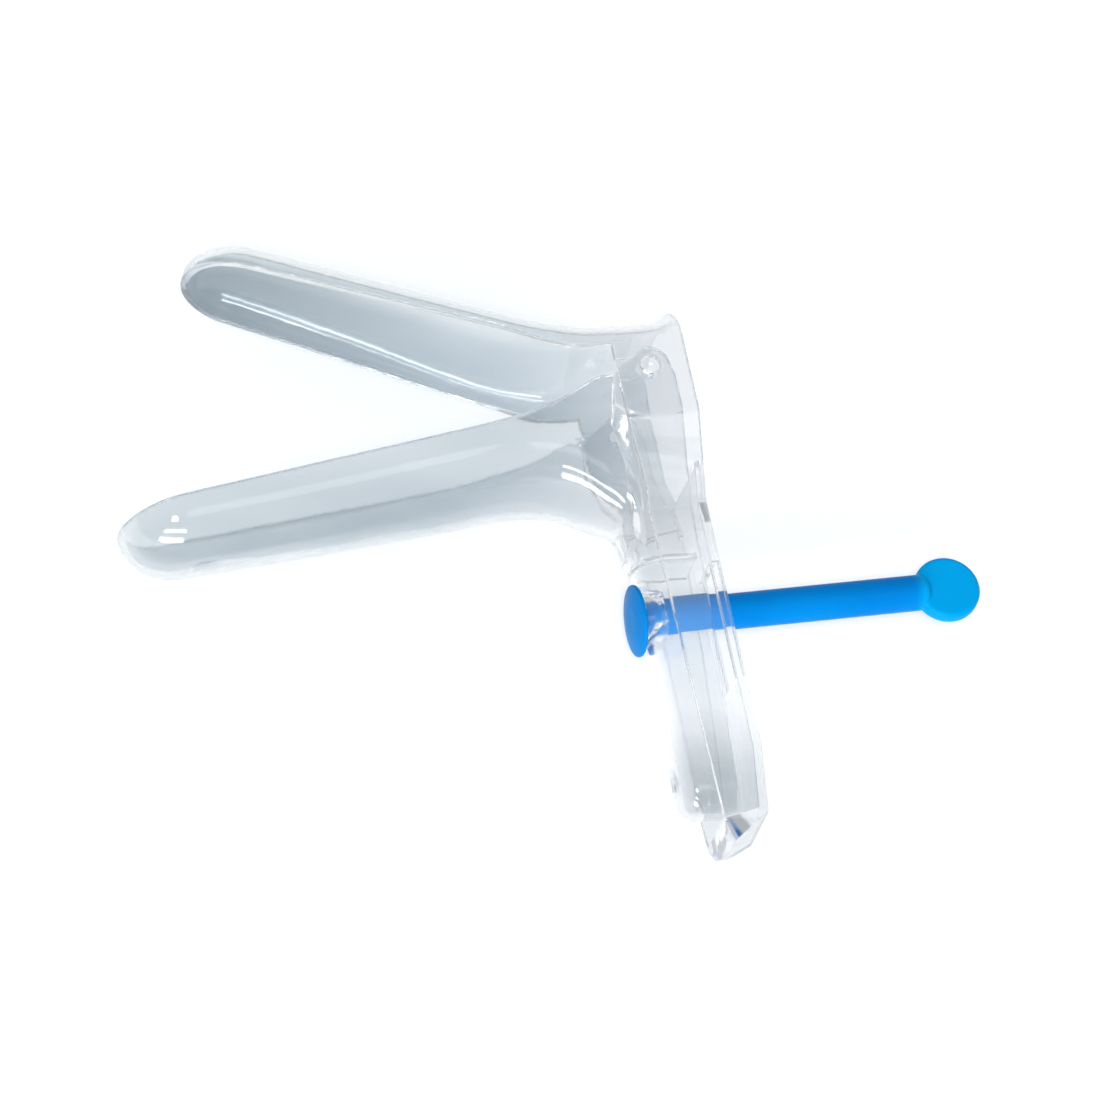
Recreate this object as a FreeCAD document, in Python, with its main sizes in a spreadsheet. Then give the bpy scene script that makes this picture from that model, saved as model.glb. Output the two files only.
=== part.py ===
"""Bivalve speculum, clear moulded, with a turn-key locking bar.

The instrument lies on its side, as a user puts it down. X points to the rear, where the user looks in
and the bar's paddle stands out. Y points from the handle to the crown of the collar. Z is the hinge
axis and points up. The blades reach towards -X. Every outline is drawn in the plane of symmetry, with
the hinge axis at X = Y = 0, and each piece is then lifted by half the collar's width, so that the
lower ear's outer face lies on Z = 0. Millimetres and degrees throughout.
"""

import FreeCAD, Part
import math
import os
import Sketcher

os.makedirs("parts", exist_ok=True)

SIZES = {
    "Wall": (1.6, "wall of both mouldings"),
    "EarGap": (0.35, "gap between an inner ear and the outer ear beside it"),
    "CollarHalf": (17.8, "half the width over the outer ears"),
    "FlatReach": (11.5, "how far the flat of the ears reaches below the hinge"),
    "NarrowReach": (29.0, "where the ears have narrowed to the lever"),
    "LeverHalf": (8.6, "half the width over the lever"),
    "LeverTilt": (11.6, "lean of the lever and collar, off the Y axis"),
    "CollarFront": (7.4, "front edge of the outer ears, ahead of the hinge"),
    "CollarRear": (8.3, "rear face of the collar and lever, behind the hinge"),
    "LeverFront": (4.4, "front edge of the lever, ahead of the hinge"),
    "LeverEndFront": (2.9, "front edge of the lever at its end, ahead of the hinge"),
    "FrontEase": (3.5, "how far above the narrow part the lever's front edge turns down"),
    "LeverLength": (107.6, "lever from the hinge to its end"),
    "LeverEndRear": (6.6, "rear face of the lever at its end, behind the hinge"),
    "EndRise": (5.7, "rise of the lever's end to the rear"),
    "BendDrop": (86.0, "where the lever's rear face starts to bend in, below the hinge"),
    "FoldLift": (5.6, "height of the collar's fold above the hinge"),
    "NeckReach": (17.0, "neck of the upper blade, from the hinge"),
    "CrownRise": (11.7, "rise of the collar's arch above its fold, at the lip"),
    "BrowRise": (9.1, "rise of the arch before it flares to the lip"),
    "BrowReach": (2.2, "where the arch starts to flare to the lip, behind the hinge"),
    "PinRadius": (2.1, "hinge pin"),
    "PinPlay": (0.08, "radial play of the pin in its hole"),
    "NotchHalf": (0.62, "half the width of the notch at a pin hole's lower edge"),
    "NotchDrop": (3.0, "lower end of that notch, below the hinge"),
    "UpperLift": (11.05, "lean of the upper blade's rim above -X"),
    "UpperDrop": (0.4, "how far the upper rim line passes below the hinge"),
    "UpperLength": (99.8, "upper blade from the hinge to its tip"),
    "UpperDepth": (8.2, "depth of the upper blade"),
    "UpperRootHalf": (17.2, "half the width of the upper blade's root"),
    "LowerFall": (19.4, "lean of the lower blade's rim below -X"),
    "LowerDrop": (4.85, "how far the lower rim line passes below the hinge"),
    "LowerLength": (117.2, "lower blade from the hinge to its tip"),
    "LowerDepth": (13.2, "depth of the lower blade"),
    "LowerRootHalf": (15.75, "half the width of the lower blade's root"),
    "BladeHalf": (13.1, "half the width of both blades at their tips"),
    "HandleDepth": (13.7, "depth of the handle's channel at the bar"),
    "HandleLength": (98.6, "handle from the hinge to its end"),
    "HandleTilt": (9.6, "lean of the handle, off the Y axis"),
    "HandleRear": (6.4, "rear edge of the handle at the bar, behind the hinge"),
    "HandleEndRear": (4.9, "rear edge of the handle at its end, behind the hinge"),
    "HandleEndDepth": (11.9, "depth of the handle's channel at its end"),
    "EarRadius": (4.8, "round top of the inner ears"),
    "EarRamp": (2.9, "top of the slope at the inner ears' front, ahead of and above the hinge"),
    "InnerRear": (5.2, "rear edge of the inner ears, behind the hinge"),
    "ThroatReach": (21.0, "throat of the lower blade, from the hinge"),
    "ThroatDepth": (18.5, "depth of the trough at the throat"),
    "HeelFront": (8.0, "front end of the inner ears, ahead of the hinge"),
    "HeelDrop": (2.4, "front end of the inner ears, below the hinge"),
    "HeelDepth": (29.0, "depth of the trough at the heel"),
    "OpenSpare": (2.0, "degrees that the blades could still open"),
    "BarDrop": (52.4, "where the bar's line crosses the Y axis, below the hinge"),
    "BarLean": (12.4, "rise of the bar towards its paddle"),
    "RodRadius": (3.85, "the bar's round rod"),
    "RodPlay": (0.08, "radial play of the rod in its bore"),
    "BarReach": (69.6, "from the Y axis to the paddle's centre, along the bar"),
    "BossRadius": (5.9, "boss round the bore"),
    "BossFront": (1.35, "front face of the boss, along the bar from the Y axis"),
    "DiscRadius": (7.7, "retaining disc"),
    "DiscThick": (2.2, "retaining disc, at its middle"),
    "DiscRim": (0.9, "retaining disc, at its rim"),
    "DiscPlay": (0.4, "gap between the disc and the boss"),
    "SpigotRadius": (2.2, "spigot that the disc is pressed on"),
    "SpigotReach": (1.4, "length of the spigot"),
    "PaddleRadius": (7.2, "paddle"),
    "PaddleThick": (3.2, "paddle"),
    "ToothRise": (0.6, "teeth of the bar, above the rod"),
    "ToothPitch": (2.5, "from tooth to tooth"),
    "ToothStart": (11.0, "first tooth, along the bar from the Y axis"),
    "ToothCount": (16, "teeth"),
    "SlotHalf": (5.0, "half the width of the lever's slot"),
    "SlotTop": (42.0, "top of the lever's slot, below the hinge"),
    "SlotEnd": (69.5, "end of the lever's slot, below the hinge"),
    "ApertureDrop": (20.6, "lower edge of the viewing aperture, below the hinge"),
    "WebDrop": (39.5, "web across the handle's channel, below the hinge"),
    "WebThick": (1.2, "web across the handle's channel"),
}

doc = FreeCAD.newDocument("bivalve_speculum")
sheet = doc.addObject("Spreadsheet::Sheet", "Sizes")
for row, (alias, (value, note)) in enumerate(SIZES.items(), 1):
    sheet.set(f"A{row}", note)
    sheet.set(f"B{row}", str(value))
    sheet.setAlias(f"B{row}", alias)
doc.recompute()

OVER = 1.0  # how far a cutter runs past the face that it opens
FAR = 200.0  # past the whole instrument


def size(alias):
    """The value of a driving dimension."""
    return float(sheet.get(alias))


def vec(x, y, z=0.0):
    return FreeCAD.Vector(x, y, z)


def heading(degrees):
    """The unit vector of the plane of symmetry at an angle from +X."""
    return vec(math.cos(math.radians(degrees)), math.sin(math.radians(degrees)))


def quarter(start, corner, end):
    """A quarter of an ellipse, from start to end, that the two sides of a corner touch."""
    curve = Part.BSplineCurve()
    curve.buildFromPolesMultsKnots(
        [start, corner, end], [3, 3], [0, 1], False, 2, [1, math.sqrt(0.5), 1]
    )
    return curve.toShape()


def trough_poles(mouth, angle, depth, half, foot, rounded):
    """The corners that shape a U across the plane of symmetry, from one side of its mouth to the other.

    mouth is the middle of its open side, angle the way from there to the bottom, half and foot the
    half widths at the mouth and where the rounded bottom starts, and rounded that bottom's depth.
    """
    down = heading(angle)
    shoulder = mouth + down * (depth - rounded)
    bottom = mouth + down * depth
    rim, knee, corner = (
        [place + vec(0, 0, side * width) for side in (1, -1)]
        for place, width in ((mouth, half), (shoulder, foot), (bottom, foot))
    )
    return [rim[0], knee[0], corner[0], bottom, corner[1], knee[1], rim[1]]


def strips(poles):
    """The corners of a U in strips: a wall, two quarters of the bottom, the other wall, and the mouth."""
    return [poles[:2], poles[1:4], poles[3:6], poles[5:], [poles[-1], poles[0]]]


def section_face(poles):
    """The flat face of one U."""
    edges = []
    for strip in strips(poles):
        edges.append(quarter(*strip) if len(strip) == 3 else Part.makeLine(*strip))
    return Part.Face(Part.Wire(edges))


def eased(marks, values, places):
    """Values between marks, on a smooth curve that never swings past its neighbours."""
    steps = [b - a for a, b in zip(marks, marks[1:])]
    rises = [(b - a) / step for a, b, step in zip(values, values[1:], steps)]
    slopes = [rises[0]]
    for before, after in zip(rises, rises[1:]):
        slopes.append(2 * before * after / (before + after) if before * after > 0 else 0.0)
    slopes.append(rises[-1])
    found = []
    for place in places:
        index = max(i for i in range(len(steps)) if marks[i] <= place + 1e-9)
        step = steps[index]
        share = (place - marks[index]) / step
        rest = 1 - share
        start = rest**2 * ((1 + 2 * share) * values[index] + share * step * slopes[index])
        end = share**2 * ((1 + 2 * rest) * values[index + 1] - rest * step * slopes[index + 1])
        found.append(start + end)
    return found


def filled_in(sections, between=3):
    """The sections with more between them, so that a curve through them all keeps close."""
    middles = [mouth + heading(angle) * (depth / 2) for mouth, angle, depth, *_ in sections]
    marks = [0.0]
    for near, far in zip(middles, middles[1:]):
        marks.append(marks[-1] + near.distanceToPoint(far))
    places = [marks[0]]
    for near, far in zip(marks, marks[1:]):
        places += [near + (far - near) * step / (between + 1) for step in range(1, between + 2)]
    table = [(section[0].x, section[0].y, *section[1:]) for section in sections]
    columns = [eased(marks, column, places) for column in zip(*table)]
    return [(vec(x, y), *rest) for x, y, *rest in zip(*columns)]


def skin(sections):
    """A smooth solid through U sections, each strip a surface of its own."""
    sections = filled_in(sections)
    rows = [trough_poles(*section) for section in sections]
    middles = [mouth + heading(angle) * (depth / 2) for mouth, angle, depth, *_ in sections]
    marks = [0.0]
    for near, far in zip(middles, middles[1:]):
        marks.append(marks[-1] + near.distanceToPoint(far))
    faces = [section_face(rows[0]), section_face(rows[-1])]
    for strip in zip(*(strips(row) for row in rows)):
        columns = []
        for line in zip(*strip):
            curve = Part.BSplineCurve()
            curve.interpolate(Points=list(line), Parameters=marks)
            columns.append(curve)
        along = columns[0]
        degree = len(columns) - 1
        weights = [1, math.sqrt(0.5), 1] if degree == 2 else [1, 1]
        surface = Part.BSplineSurface()
        surface.buildFromPolesMultsKnots(
            [list(poles) for poles in zip(*(curve.getPoles() for curve in columns))],
            along.getMultiplicities(),
            [degree + 1, degree + 1],
            along.getKnots(),
            [0, 1],
            False,
            False,
            along.Degree,
            degree,
            [weights] * along.NbPoles,
        )
        faces.append(surface.toShape())
    shape = Part.makeCompound(faces)
    shape.sewShape()
    solid = Part.Solid(shape.Shells[0])
    if solid.Volume < 0:
        solid.reverse()
    return solid


def round_end(section, outward):
    """The rounded end of a trough: the section turned half round, about its own middle."""
    mouth, angle, depth, half, foot, rounded = section
    down = heading(angle)
    side = 1 if down.cross(vec(0, 0, 1)).dot(outward) > 0 else -1
    rim = mouth + vec(0, 0, side * half)
    shoulder = mouth + down * (depth - rounded)
    knee = shoulder + vec(0, 0, side * foot)
    bottom = mouth + down * depth
    profile = [
        Part.makeLine(rim, knee),
        quarter(knee, knee + down * rounded, bottom),
        Part.makeLine(bottom, mouth),
        Part.makeLine(mouth, rim),
    ]
    return Part.Face(Part.Wire(profile)).revolve(mouth, down, 180)


def prism(points, half):
    """A closed outline of the plane of symmetry, made solid to both sides."""
    corners = [vec(x, y, -half) for x, y in points]
    face = Part.Face(Part.makePolygon(corners + corners[:1]))
    return face.extrude(vec(0, 0, 2 * half))


def feature(name, shape):
    """A shape of the tree that no single sketch or primitive gives."""
    item = doc.addObject("Part::Feature", name)
    item.Shape = shape
    return item


def boolean(kind, name, base, *others):
    """A cut or fusion of objects of the tree."""
    item = doc.addObject(kind, name)
    if kind == "Part::Cut":
        item.Base, item.Tool = base, others[0]
    else:
        item.Shapes = [base, *others]
    return item


SECTION_BEND = 0.88  # share of a blade's depth that its rounded bottom takes


def frame_point(tilt, across, up):
    """A point by its place across and along a leg that leans off the Y axis."""
    return heading(tilt) * across + heading(90 + tilt) * up


def nest(inset):
    """The room that the outer ears and the lever leave round the hinge axis, less an inset.

    It is round, so what stays within it clears them at every opening of the blades.
    """
    wide = size("CollarHalf") - size("Wall") - size("EarGap") - inset
    narrow = size("LeverHalf") - size("Wall") - size("EarGap") - inset
    steps = [(0, wide), (size("FlatReach"), wide), (size("NarrowReach"), narrow), (FAR, narrow)]
    profile = [vec(reach, 0, half) for reach, half in steps]
    profile += [vec(reach, 0, -half) for reach, half in reversed(steps)]
    face = Part.Face(Part.makePolygon(profile + profile[:1]))
    return face.revolve(vec(0, 0), vec(0, 0, 1), 360)


def front_shape(inset):
    """The collar's flat ears and the lever as the user sees them, run through from front to rear."""
    wide = size("CollarHalf") - inset
    narrow = size("LeverHalf") - inset
    end = -(size("LeverLength") - size("LeverHalf"))
    steps = [(FAR / 4, wide), (-size("FlatReach"), wide), (-size("NarrowReach"), narrow), (end, narrow)]
    back = heading(size("LeverTilt")) * (-FAR / 2)

    def at(up, across):
        return back + frame_point(size("LeverTilt"), 0, up) + vec(0, 0, across)

    left = [at(up, half) for up, half in steps]
    right = [at(up, -half) for up, half in reversed(steps)]
    round_tip = Part.Arc(left[-1], at(end - narrow, 0), right[0]).toShape()
    edges = [Part.makeLine(a, b) for a, b in zip(left, left[1:])]
    edges += [round_tip]
    edges += [Part.makeLine(a, b) for a, b in zip(right, right[1:])]
    edges += [Part.makeLine(right[-1], left[0])]
    return Part.Face(Part.Wire(edges)).extrude(heading(size("LeverTilt")) * FAR)


def lever_outline(inset):
    """The side view of the ears and the lever. An inset one runs out at the front and at the aperture."""
    tilt = size("LeverTilt")
    front = FAR / 8 if inset else 0
    out = 4 * OVER if inset else 0
    rear = size("CollarRear")
    end = -size("LeverLength")
    points = [
        (-size("CollarFront") - front, size("FoldLift") + OVER),
        (-size("CollarFront") - front, -size("FlatReach")),
        (-size("LeverFront") - front, -size("NarrowReach") + size("FrontEase")),
        (-size("LeverEndFront") - front, end + inset),
        (size("LeverEndRear") - inset, end + size("EndRise") + inset),
        (rear - inset, -size("BendDrop")),
    ]
    if inset:
        points += [(rear - inset, -size("ApertureDrop")), (rear + out, -size("ApertureDrop"))]
    points += [(rear + out, size("FoldLift") + OVER)]
    return [(p.x, p.y) for p in (frame_point(tilt, across, up) for across, up in points)]


def shrunk(section, inset):
    """A section grown smaller all round by an inset. It starts a little above its mouth, to open it."""
    mouth, angle, depth, half, foot, rounded = section
    lift = OVER if inset else 0
    start = mouth - heading(angle) * lift
    return start, angle, depth + lift - inset, half - inset, foot - inset, rounded - inset


def trough(sections, outward, inset):
    """A skin over sections, with rounded ends, grown smaller all round by an inset."""
    inner = [shrunk(section, inset) for section in sections]
    shape = skin(inner).fuse(round_end(inner[0], outward[0]))
    if len(outward) > 1:
        shape = shape.fuse(round_end(inner[-1], outward[1]))
    return shape


# The upper moulding: blade, collar, outer ears and thumb lever.

UPPER_WAY = 180 - size("UpperLift")
UPPER_ROOT = 0.36  # where a blade's root ends and its neck starts, as a share of the way to its tip
upper_tip = size("UpperLength") - size("BladeHalf")


def on_upper_rim(reach):
    """A point of the upper blade's rim line."""
    return vec(0, -size("UpperDrop")) + heading(UPPER_WAY) * reach


def upper_sections():
    """The upper trough from its tip to the collar's rear face. It is widest and shallowest at its root."""
    full = size("UpperDepth")
    bend = full * SECTION_BEND
    tip = size("BladeHalf")
    root = size("UpperRootHalf")
    middle = (tip + root) / 2
    collar = size("CollarHalf")
    neck = (root + collar) / 2
    rise = size("CrownRise")
    brow = size("BrowRise")
    tilt = size("LeverTilt")
    down = UPPER_WAY - 90
    front = frame_point(tilt, -size("CollarFront") / 2, size("FoldLift"))
    flare = frame_point(tilt, size("BrowReach"), size("FoldLift"))
    rear = frame_point(tilt, size("CollarRear"), size("FoldLift"))
    root_reach = upper_tip * UPPER_ROOT
    middle_reach = (upper_tip + root_reach) / 2
    return [
        (on_upper_rim(upper_tip), down, full + 0.5, tip, tip, bend),
        (on_upper_rim(middle_reach), down, full, middle, middle, bend),
        (on_upper_rim(root_reach), down, full - 0.9, root, root, bend - 0.8),
        (on_upper_rim(size("NeckReach")), down + 8, full + 1.0, neck, neck, bend),
        (front, 90 + tilt * 0.7, brow - 0.2, collar, collar, brow - 1.4),
        (flare, 90 + tilt * 0.9, brow, collar, collar, brow - 1.2),
        (rear, 90 + tilt, rise, collar, collar, rise - 1.2),
    ]


def upper_moulding(inset):
    """The outer form of the upper moulding, or what is cut out of it."""
    sections = upper_sections()
    shape = trough(sections, [heading(UPPER_WAY)], inset)
    if inset:
        opening = section_face(trough_poles(*shrunk(sections[-1], inset)))
        shape = shape.fuse(opening.extrude(heading(size("LeverTilt")) * 4 * OVER))
    ears = prism(lever_outline(inset), FAR).common(front_shape(inset))
    return shape.fuse(ears)


# The lower moulding: blade, inner ears with the hinge pins, and handle.

LOWER_WAY = 180 + size("LowerFall")
EARS_RUN_OUT = 6.6  # from where the ears have narrowed to where they end in the handle's edges
lower_tip = size("LowerLength") - size("BladeHalf")


def on_lower_rim(reach):
    """A point of the lower blade's rim line."""
    return vec(0, -size("LowerDrop")) + heading(LOWER_WAY) * reach


def on_handle(across, down):
    """A point of the handle, by its place across it and its drop below the hinge."""
    return frame_point(size("HandleTilt"), across, -down)


def lower_sections():
    """The lower trough from its tip, round the throat and down the handle."""
    full = size("LowerDepth")
    bend = full * SECTION_BEND
    tip = size("BladeHalf")
    root = size("LowerRootHalf")
    middle = (tip + root) / 2
    ear = size("CollarHalf") - size("Wall") - size("EarGap")
    narrow = size("LeverHalf") - size("Wall") - size("EarGap")
    down = LOWER_WAY + 90
    handle = 180 + size("HandleTilt")
    ears_end = size("NarrowReach")
    deep = size("HandleDepth")
    end = size("HandleLength") - narrow
    root_reach = lower_tip * UPPER_ROOT
    middle_reach = (lower_tip + root_reach) / 2
    neck = (root_reach + size("ThroatReach")) / 2
    throat = on_lower_rim(size("ThroatReach")) + vec(0, 1.95)
    heel = vec(-size("HeelFront"), -size("HeelDrop"))
    return [
        (on_lower_rim(lower_tip), down, full - 1.4, tip, tip, bend - 1.2),
        (on_lower_rim(middle_reach), down, full, middle, middle, bend),
        (on_lower_rim(root_reach), down, full + 0.6, root, root, bend),
        (on_lower_rim(neck) + vec(0, 0.55), down - 3, full + 1.8, root, root - 0.4, bend),
        (throat, down - 8, size("ThroatDepth"), root, root - 1, bend),
        (heel, 275, size("HeelDepth"), ear - 0.1, ear * 0.8, bend),
        (on_handle(size("HandleRear") - 0.6, ears_end - 9), 240, deep + 9, ear, narrow + 1.4, 8),
        (on_handle(size("HandleRear"), ears_end + EARS_RUN_OUT), 212, deep + 1.8, narrow + 0.2, narrow + 0.1, 5.5),
        (on_handle(size("HandleRear"), ears_end + 21), handle, deep, narrow, narrow, 5),
        (on_handle(size("HandleEndRear"), end), handle, size("HandleEndDepth"), narrow, narrow, 4),
    ]


def inner_ear_outline(grown):
    """The side view of the inner ears, grown at their rear and top where the space between them is open."""
    ear_top = size("EarRadius") + grown
    rear = size("InnerRear") + grown
    tilt = size("LeverTilt")
    ears_end = size("NarrowReach")
    ring = [heading(angle) * ear_top for angle in (110, 95, 80, 65, 50, 38)]
    back = [frame_point(tilt, rear, -up) for up in (2.0, size("FlatReach") + 2.9, ears_end - 7)]
    foot = [
        on_handle(size("HandleRear") + grown, ears_end + EARS_RUN_OUT),
        on_handle(-2, ears_end + 5),
        vec(-7.5, 13 - ears_end),
    ]
    heel = vec(-size("HeelFront") + 0.5, -size("HeelDrop") + 0.4)
    slope_top = vec(-size("EarRamp"), size("EarRamp") + grown)
    return [(p.x, p.y) for p in [*ring, *back, *foot, heel, slope_top]]


def sweep_room(setback):
    """Everything behind the lever's front edge, as it stands with the blades at their widest."""
    tilt = size("LeverTilt") - size("OpenSpare")
    across = [
        (-size("CollarFront"), 2 * size("FlatReach")),
        (-size("CollarFront"), -size("FlatReach")),
        (-size("LeverFront"), -size("NarrowReach") + size("FrontEase")),
        (-size("LeverFront"), -FAR),
        (FAR, -FAR),
        (FAR, 2 * size("FlatReach")),
    ]
    points = [frame_point(tilt, side - size("EarGap") - setback, up) for side, up in across]
    return prism([(p.x, p.y) for p in points], FAR)


def lower_moulding(inset):
    """The outer form of the lower moulding, or what is cut out of it."""
    room = nest(inset)
    shape = trough(lower_sections(), [heading(LOWER_WAY), heading(size("HandleTilt") - 90)], inset)
    shape = shape.cut(sweep_room(inset).cut(room))
    ears = prism(inner_ear_outline(4 * OVER if inset else 0), FAR).common(room)
    return shape.fuse(ears)


def along_bar(reach, lift=0.0):
    """A point of the bar's line, by its distance from the Y axis, or beside it."""
    return vec(0, -size("BarDrop")) + heading(size("BarLean")) * reach + heading(90 + size("BarLean")) * lift


def web_wall():
    """The web across the handle's channel, above the bar."""
    half = size("LeverHalf") - size("Wall") - size("EarGap") - size("Wall") / 2
    thick = size("WebThick")
    corners = [
        on_handle(size("HandleRear") - size("HandleDepth") + size("Wall") / 2, size("WebDrop")),
        on_handle(size("HandleRear") - size("Wall") / 2, size("WebDrop")),
        on_handle(size("HandleRear") - size("Wall") / 2, size("WebDrop") + thick),
        on_handle(size("HandleRear") - size("HandleDepth") + size("Wall") / 2, size("WebDrop") + thick),
    ]
    return prism([(p.x, p.y) for p in corners], half)


def lead_in(side):
    """The ramp in an outer ear that guides a hinge pin from the ear's front edge to its hole."""
    inner = side * (size("CollarHalf") - size("Wall"))
    tilt = size("LeverTilt")
    half = size("PinRadius") + size("PinPlay")
    depth = size("Wall") / 2
    front = -size("CollarFront") - OVER
    ramp = [
        (front, inner - side * OVER),
        (0, inner - side * OVER),
        (-half, inner),
        (front, inner + side * depth),
    ]
    low = -half - OVER
    corners = [frame_point(tilt, across, low) + vec(0, 0, z) for across, z in ramp]
    face = Part.Face(Part.makePolygon(corners + corners[:1]))
    return face.extrude(heading(90 + tilt) * (half - low))


def pin_notch():
    """The notch at the lower edge of both pin holes, which lets the ear spring over its pin."""
    half = size("NotchHalf")
    top = -size("PinRadius") / 2
    drop = -size("NotchDrop")
    corners = [(-half, top), (half, top), (half, drop), (-half, drop)]
    ring = Part.makeCylinder(size("PinRadius") + size("PinPlay") / 2, FAR, vec(0, 0, -FAR / 2))
    return prism(corners, size("CollarHalf") + OVER).cut(ring)


def add_moulding(label, outer, inner, extras, cuts):
    """A moulding as a tree: outer form, less its inside, with what stands on it, less its holes."""
    outside = feature(f"{label}_outer", outer)
    inside = feature(f"{label}_inner", inner)
    shell = boolean("Part::Cut", f"{label}_shell", outside, inside)
    if extras:
        shell = boolean("Part::MultiFuse", f"{label}_solid", shell, *extras)
    piece = doc.addObject("Part::Cut", label)
    piece.Base = shell
    piece.Tool = boolean("Part::MultiFuse", f"{label}_holes", *cuts) if len(cuts) > 1 else cuts[0]
    piece.Label = label
    piece.setExpression("Placement.Base.z", "Sizes.CollarHalf")
    return piece


def cylinder(name, radius, height, base, direction):
    """A Part cylinder whose radius and height follow the sheet."""
    item = doc.addObject("Part::Cylinder", name)
    item.setExpression("Radius", radius)
    item.setExpression("Height", height)
    item.Placement = FreeCAD.Placement(base, FreeCAD.Rotation(vec(0, 0, 1), direction))
    return item


# Lower moulding.

ear_inner_face = size("CollarHalf") - size("Wall") - size("EarGap") - size("Wall") / 2
pins = []
for name, side in (("upper_pin", 1), ("lower_pin", -1)):
    pin = cylinder(
        name,
        "Sizes.PinRadius",
        "Sizes.Wall * 1.5 + Sizes.EarGap",
        vec(0, 0, side * ear_inner_face),
        vec(0, 0, side),
    )
    pins.append(pin)
boss = cylinder(
    "bore_boss",
    "Sizes.BossRadius",
    "Sizes.Wall + 3",
    along_bar(size("BossFront")),
    heading(size("BarLean")),
)
bore = cylinder(
    "bar_bore",
    "Sizes.RodRadius + Sizes.RodPlay",
    "Sizes.Wall + 12",
    along_bar(size("BossFront") - 4),
    heading(size("BarLean")),
)
lower_blade = add_moulding(
    "lower_blade",
    lower_moulding(0),
    lower_moulding(size("Wall")),
    [*pins, boss, feature("channel_web", web_wall())],
    [bore],
)

# Upper moulding.

hole = cylinder(
    "pin_holes",
    "Sizes.PinRadius + Sizes.PinPlay",
    "Sizes.CollarHalf * 2 + 2",
    vec(0, 0, -size("CollarHalf") - OVER),
    vec(0, 0, 1),
)


def lever_slot():
    """The slot in the lever's back wall that the bar passes through."""
    tilt = size("LeverTilt")
    front = size("CollarRear") - size("Wall") - 2 * OVER
    back = size("CollarRear") + 2 * OVER
    top = -size("SlotTop")
    end = -size("SlotEnd")
    places = ((front, top), (back, top), (back, end), (front, end))
    corners = [frame_point(tilt, across, up) for across, up in places]
    return prism([(p.x, p.y) for p in corners], size("SlotHalf"))


upper_cuts = [
    hole,
    feature("hole_notches", pin_notch()),
    feature("lever_slot", lever_slot()),
    feature("lead_in_upper", lead_in(1)),
    feature("lead_in_lower", lead_in(-1)),
]
upper_blade = add_moulding("upper_blade", upper_moulding(0), upper_moulding(size("Wall")), [], upper_cuts)

# Locking bar and its disc, drawn along X from where the bar's line crosses the Y axis.


def on_bar(piece):
    """Lays a body on the bar's line."""
    turn = FreeCAD.Rotation(vec(0, 0, 1), size("BarLean"))
    piece.Placement = FreeCAD.Placement(vec(0, -size("BarDrop"), size("CollarHalf")), turn)
    piece.setExpression("Placement.Base.y", "-Sizes.BarDrop")
    piece.setExpression("Placement.Base.z", "Sizes.CollarHalf")
    piece.setExpression("Placement.Rotation.Angle", "Sizes.BarLean")


def origin_plane(body, role):
    """One of a body's own origin planes or axes."""
    return next(item for item in body.Origin.OriginFeatures if item.Role == role)


def outline_sketch(body, name, points):
    """A closed polygon sketch on the body's XY plane, each corner bound to the sheet."""
    sketch = body.newObject("Sketcher::SketchObject", name)
    sketch.AttachmentSupport = [(origin_plane(body, "XY_Plane"), "")]
    sketch.MapMode = "FlatFace"
    count = len(points)
    for index in range(count):
        start, end = vec(index, index * index), vec(index + 1, (index + 1) ** 2)
        if index == count - 1:
            end = vec(0, 0)
        sketch.addGeometry(Part.LineSegment(start, end), False)
    for index in range(count):
        sketch.addConstraint(Sketcher.Constraint("Coincident", index, 2, (index + 1) % count, 1))
    for index, (x, y) in enumerate(points):
        for kind, expression in (("DistanceX", x), ("DistanceY", y)):
            number = sketch.addConstraint(Sketcher.Constraint(kind, -1, 1, index, 1, 1.0))
            sketch.setExpression(f"Constraints[{number}]", expression)
    return sketch


def revolved(body, sketch, name):
    """A full turn of a sketch round the body's X axis."""
    turn = body.newObject("PartDesign::Revolution", name)
    turn.Profile = sketch
    turn.ReferenceAxis = (sketch, ["H_Axis"])
    turn.Angle = 360
    return turn


rod_start = "Sizes.BossFront - Sizes.DiscPlay"
rod_end = "Sizes.BarReach - Sizes.PaddleRadius / 2"
bar = doc.addObject("PartDesign::Body", "locking_bar")
bar.Label = "locking_bar"
rod_sketch = outline_sketch(
    bar,
    "rod_outline",
    [
        (f"{rod_start} - Sizes.SpigotReach", "0"),
        (f"{rod_start} - Sizes.SpigotReach", "Sizes.SpigotRadius"),
        (rod_start, "Sizes.SpigotRadius"),
        (rod_start, "Sizes.RodRadius"),
        (rod_end, "Sizes.RodRadius"),
        (rod_end, "0"),
    ],
)
revolved(bar, rod_sketch, "rod")

paddle_sketch = bar.newObject("Sketcher::SketchObject", "paddle_outline")
paddle_sketch.AttachmentSupport = [(origin_plane(bar, "XY_Plane"), "")]
paddle_sketch.MapMode = "FlatFace"
paddle_sketch.addGeometry(Part.Circle(vec(size("BarReach"), 0), vec(0, 0, 1), size("PaddleRadius")), False)
for kind, value, expression in (
    ("Radius", size("PaddleRadius"), "Sizes.PaddleRadius"),
    ("DistanceX", size("BarReach"), "Sizes.BarReach"),
):
    args = (0, value) if kind == "Radius" else (-1, 1, 0, 3, value)
    number = paddle_sketch.addConstraint(Sketcher.Constraint(kind, *args))
    paddle_sketch.setExpression(f"Constraints[{number}]", expression)
paddle_sketch.addConstraint(Sketcher.Constraint("PointOnObject", 0, 3, -1))
paddle = bar.newObject("PartDesign::Pad", "paddle")
paddle.Profile = paddle_sketch
paddle.Midplane = True
paddle.setExpression("Length", "Sizes.PaddleThick")
doc.recompute()


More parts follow.
